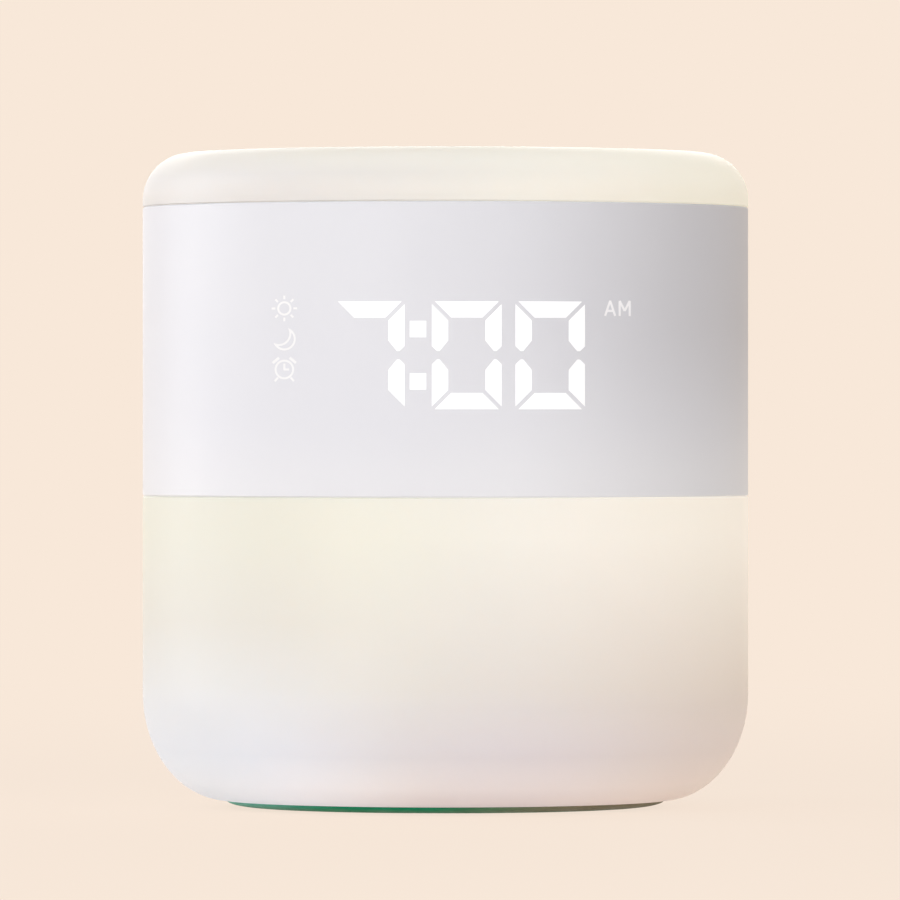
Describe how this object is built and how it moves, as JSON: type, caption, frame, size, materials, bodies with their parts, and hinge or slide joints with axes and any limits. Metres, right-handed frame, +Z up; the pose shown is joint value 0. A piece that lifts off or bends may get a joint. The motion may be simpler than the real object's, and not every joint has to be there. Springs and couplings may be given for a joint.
{
  "type": "bedside alarm clock with night light",
  "caption": "Round bedside alarm clock with a satin display band between two milky night-light diffusers, a press top, rear keys and a soft foot ring.",
  "frame": {"origin": "on the floor, under the centre of the round body", "axes": "+Z up along the body's axis, -Y towards the viewer of the display, +X to the viewer's right"},
  "size_m": [0.116, 0.116, 0.1254],
  "materials": {
    "milky_plastic": "satin milky, lit from inside",
    "band_plastic": "fine satin",
    "lit_guide": "clear light guide, lit",
    "teal_silicone": "matte silicone",
    "base_plastic": "fine texture",
    "door_plastic": "fine texture",
    "frame_plastic": "moulded",
    "reflector_plastic": "white reflector",
    "shroud_plastic": "white, opaque",
    "panel_plastic": "fine satin",
    "key_plastic": "soft touch",
    "knob_plastic": "satin",
    "button_plastic": "satin milky, lit from inside",
    "circuit_board": "solder mask",
    "led_board": "white solder mask",
    "lamp": "lamp body with clear resin",
    "chip_black": "moulded epoxy",
    "connector_plastic": "nylon",
    "switch_plastic": "moulded",
    "screw_steel": "zinc plated",
    "cell_steel": "bright",
    "contact_steel": "nickel plated spring",
    "socket_steel": "drawn shell",
    "basket_steel": "black",
    "magnet_steel": "plated",
    "cone_paper": "coated",
    "gasket_foam": "foam",
    "ribbon_plastic": "flat cable",
    "wire_plastic": "insulation"
  },
  "bodies": {
    "clock": {"foot_pad": "teal_silicone", "base_plate": "base_plastic", "base_screws": "screw_steel", "coin_cell": "cell_steel", "cell_contacts": "contact_steel", "lower_diffuser": "milky_plastic", "core_frame": "frame_plastic", "lower_reflector": "reflector_plastic", "lower_led_board": "led_board", "lower_leds": "lamp", "band_screws": "screw_steel", "display_band": "band_plastic", "display_housing": "shroud_plastic", "display_board": "circuit_board", "display_leds": "lamp", "display_screws": "screw_steel", "hour_digit_guides": "lit_guide", "tens_digit_guides": "lit_guide", "units_digit_guides": "lit_guide", "colon_guides": "lit_guide", "am_guide": "lit_guide", "icon_guides": "lit_guide", "unlit_guides": "band_plastic", "main_board": "circuit_board", "main_chips": "chip_black", "board_connectors": "connector_plastic", "board_screws": "screw_steel", "display_ribbon": "ribbon_plastic", "battery_leads": "wire_plastic", "led_leads": "wire_plastic", "usb_socket": "socket_steel", "rear_panel": "panel_plastic", "panel_screws": "screw_steel", "key_board": "circuit_board", "key_switches": "switch_plastic", "key_board_screws": "screw_steel", "alarm_switch": "switch_plastic", "speaker_gasket": "gasket_foam", "speaker_basket": "basket_steel", "speaker_cone": "cone_paper", "speaker_magnet": "magnet_steel", "top_plate": "frame_plastic", "top_plate_screws": "screw_steel", "upper_led_board": "led_board", "upper_leds": "lamp", "snooze_switches": "switch_plastic", "top_diffuser": "milky_plastic"},
    "top_button": {"top_button": "button_plastic"},
    "time_key": {"time_key": "key_plastic"},
    "alarm_key": {"alarm_key": "key_plastic"},
    "plus_key": {"plus_key": "key_plastic"},
    "minus_key": {"minus_key": "key_plastic"},
    "alarm_knob": {"alarm_knob": "knob_plastic"},
    "battery_door": {"battery_door": "door_plastic", "door_screws": "screw_steel"}
  },
  "joints": [
    {"name": "top_button_press", "type": "slide", "parent": "clock", "child": "top_button", "axis": [0, 0, -1], "range_m": [0, 0.001], "stiffness_N_per_m": 900, "springref_m": -0.002},
    {"name": "time_key_press", "type": "slide", "parent": "clock", "child": "time_key", "axis": [0, -1, 0], "range_m": [0, 0.0007], "stiffness_N_per_m": 400, "springref_m": -0.001},
    {"name": "alarm_key_press", "type": "slide", "parent": "clock", "child": "alarm_key", "axis": [0, -1, 0], "range_m": [0, 0.0007], "stiffness_N_per_m": 400, "springref_m": -0.001},
    {"name": "plus_key_press", "type": "slide", "parent": "clock", "child": "plus_key", "axis": [0, -1, 0], "range_m": [0, 0.0007], "stiffness_N_per_m": 400, "springref_m": -0.001},
    {"name": "minus_key_press", "type": "slide", "parent": "clock", "child": "minus_key", "axis": [0, -1, 0], "range_m": [0, 0.0007], "stiffness_N_per_m": 400, "springref_m": -0.001},
    {"name": "alarm_knob_slide", "type": "slide", "parent": "clock", "child": "alarm_knob", "axis": [1, 0, 0], "range_m": [0, 0.004]},
    {"name": "battery_door_lift_off", "type": "slide", "parent": "clock", "child": "battery_door", "axis": [0, 0, -1], "range_m": [0, 0.012]}
  ]
}
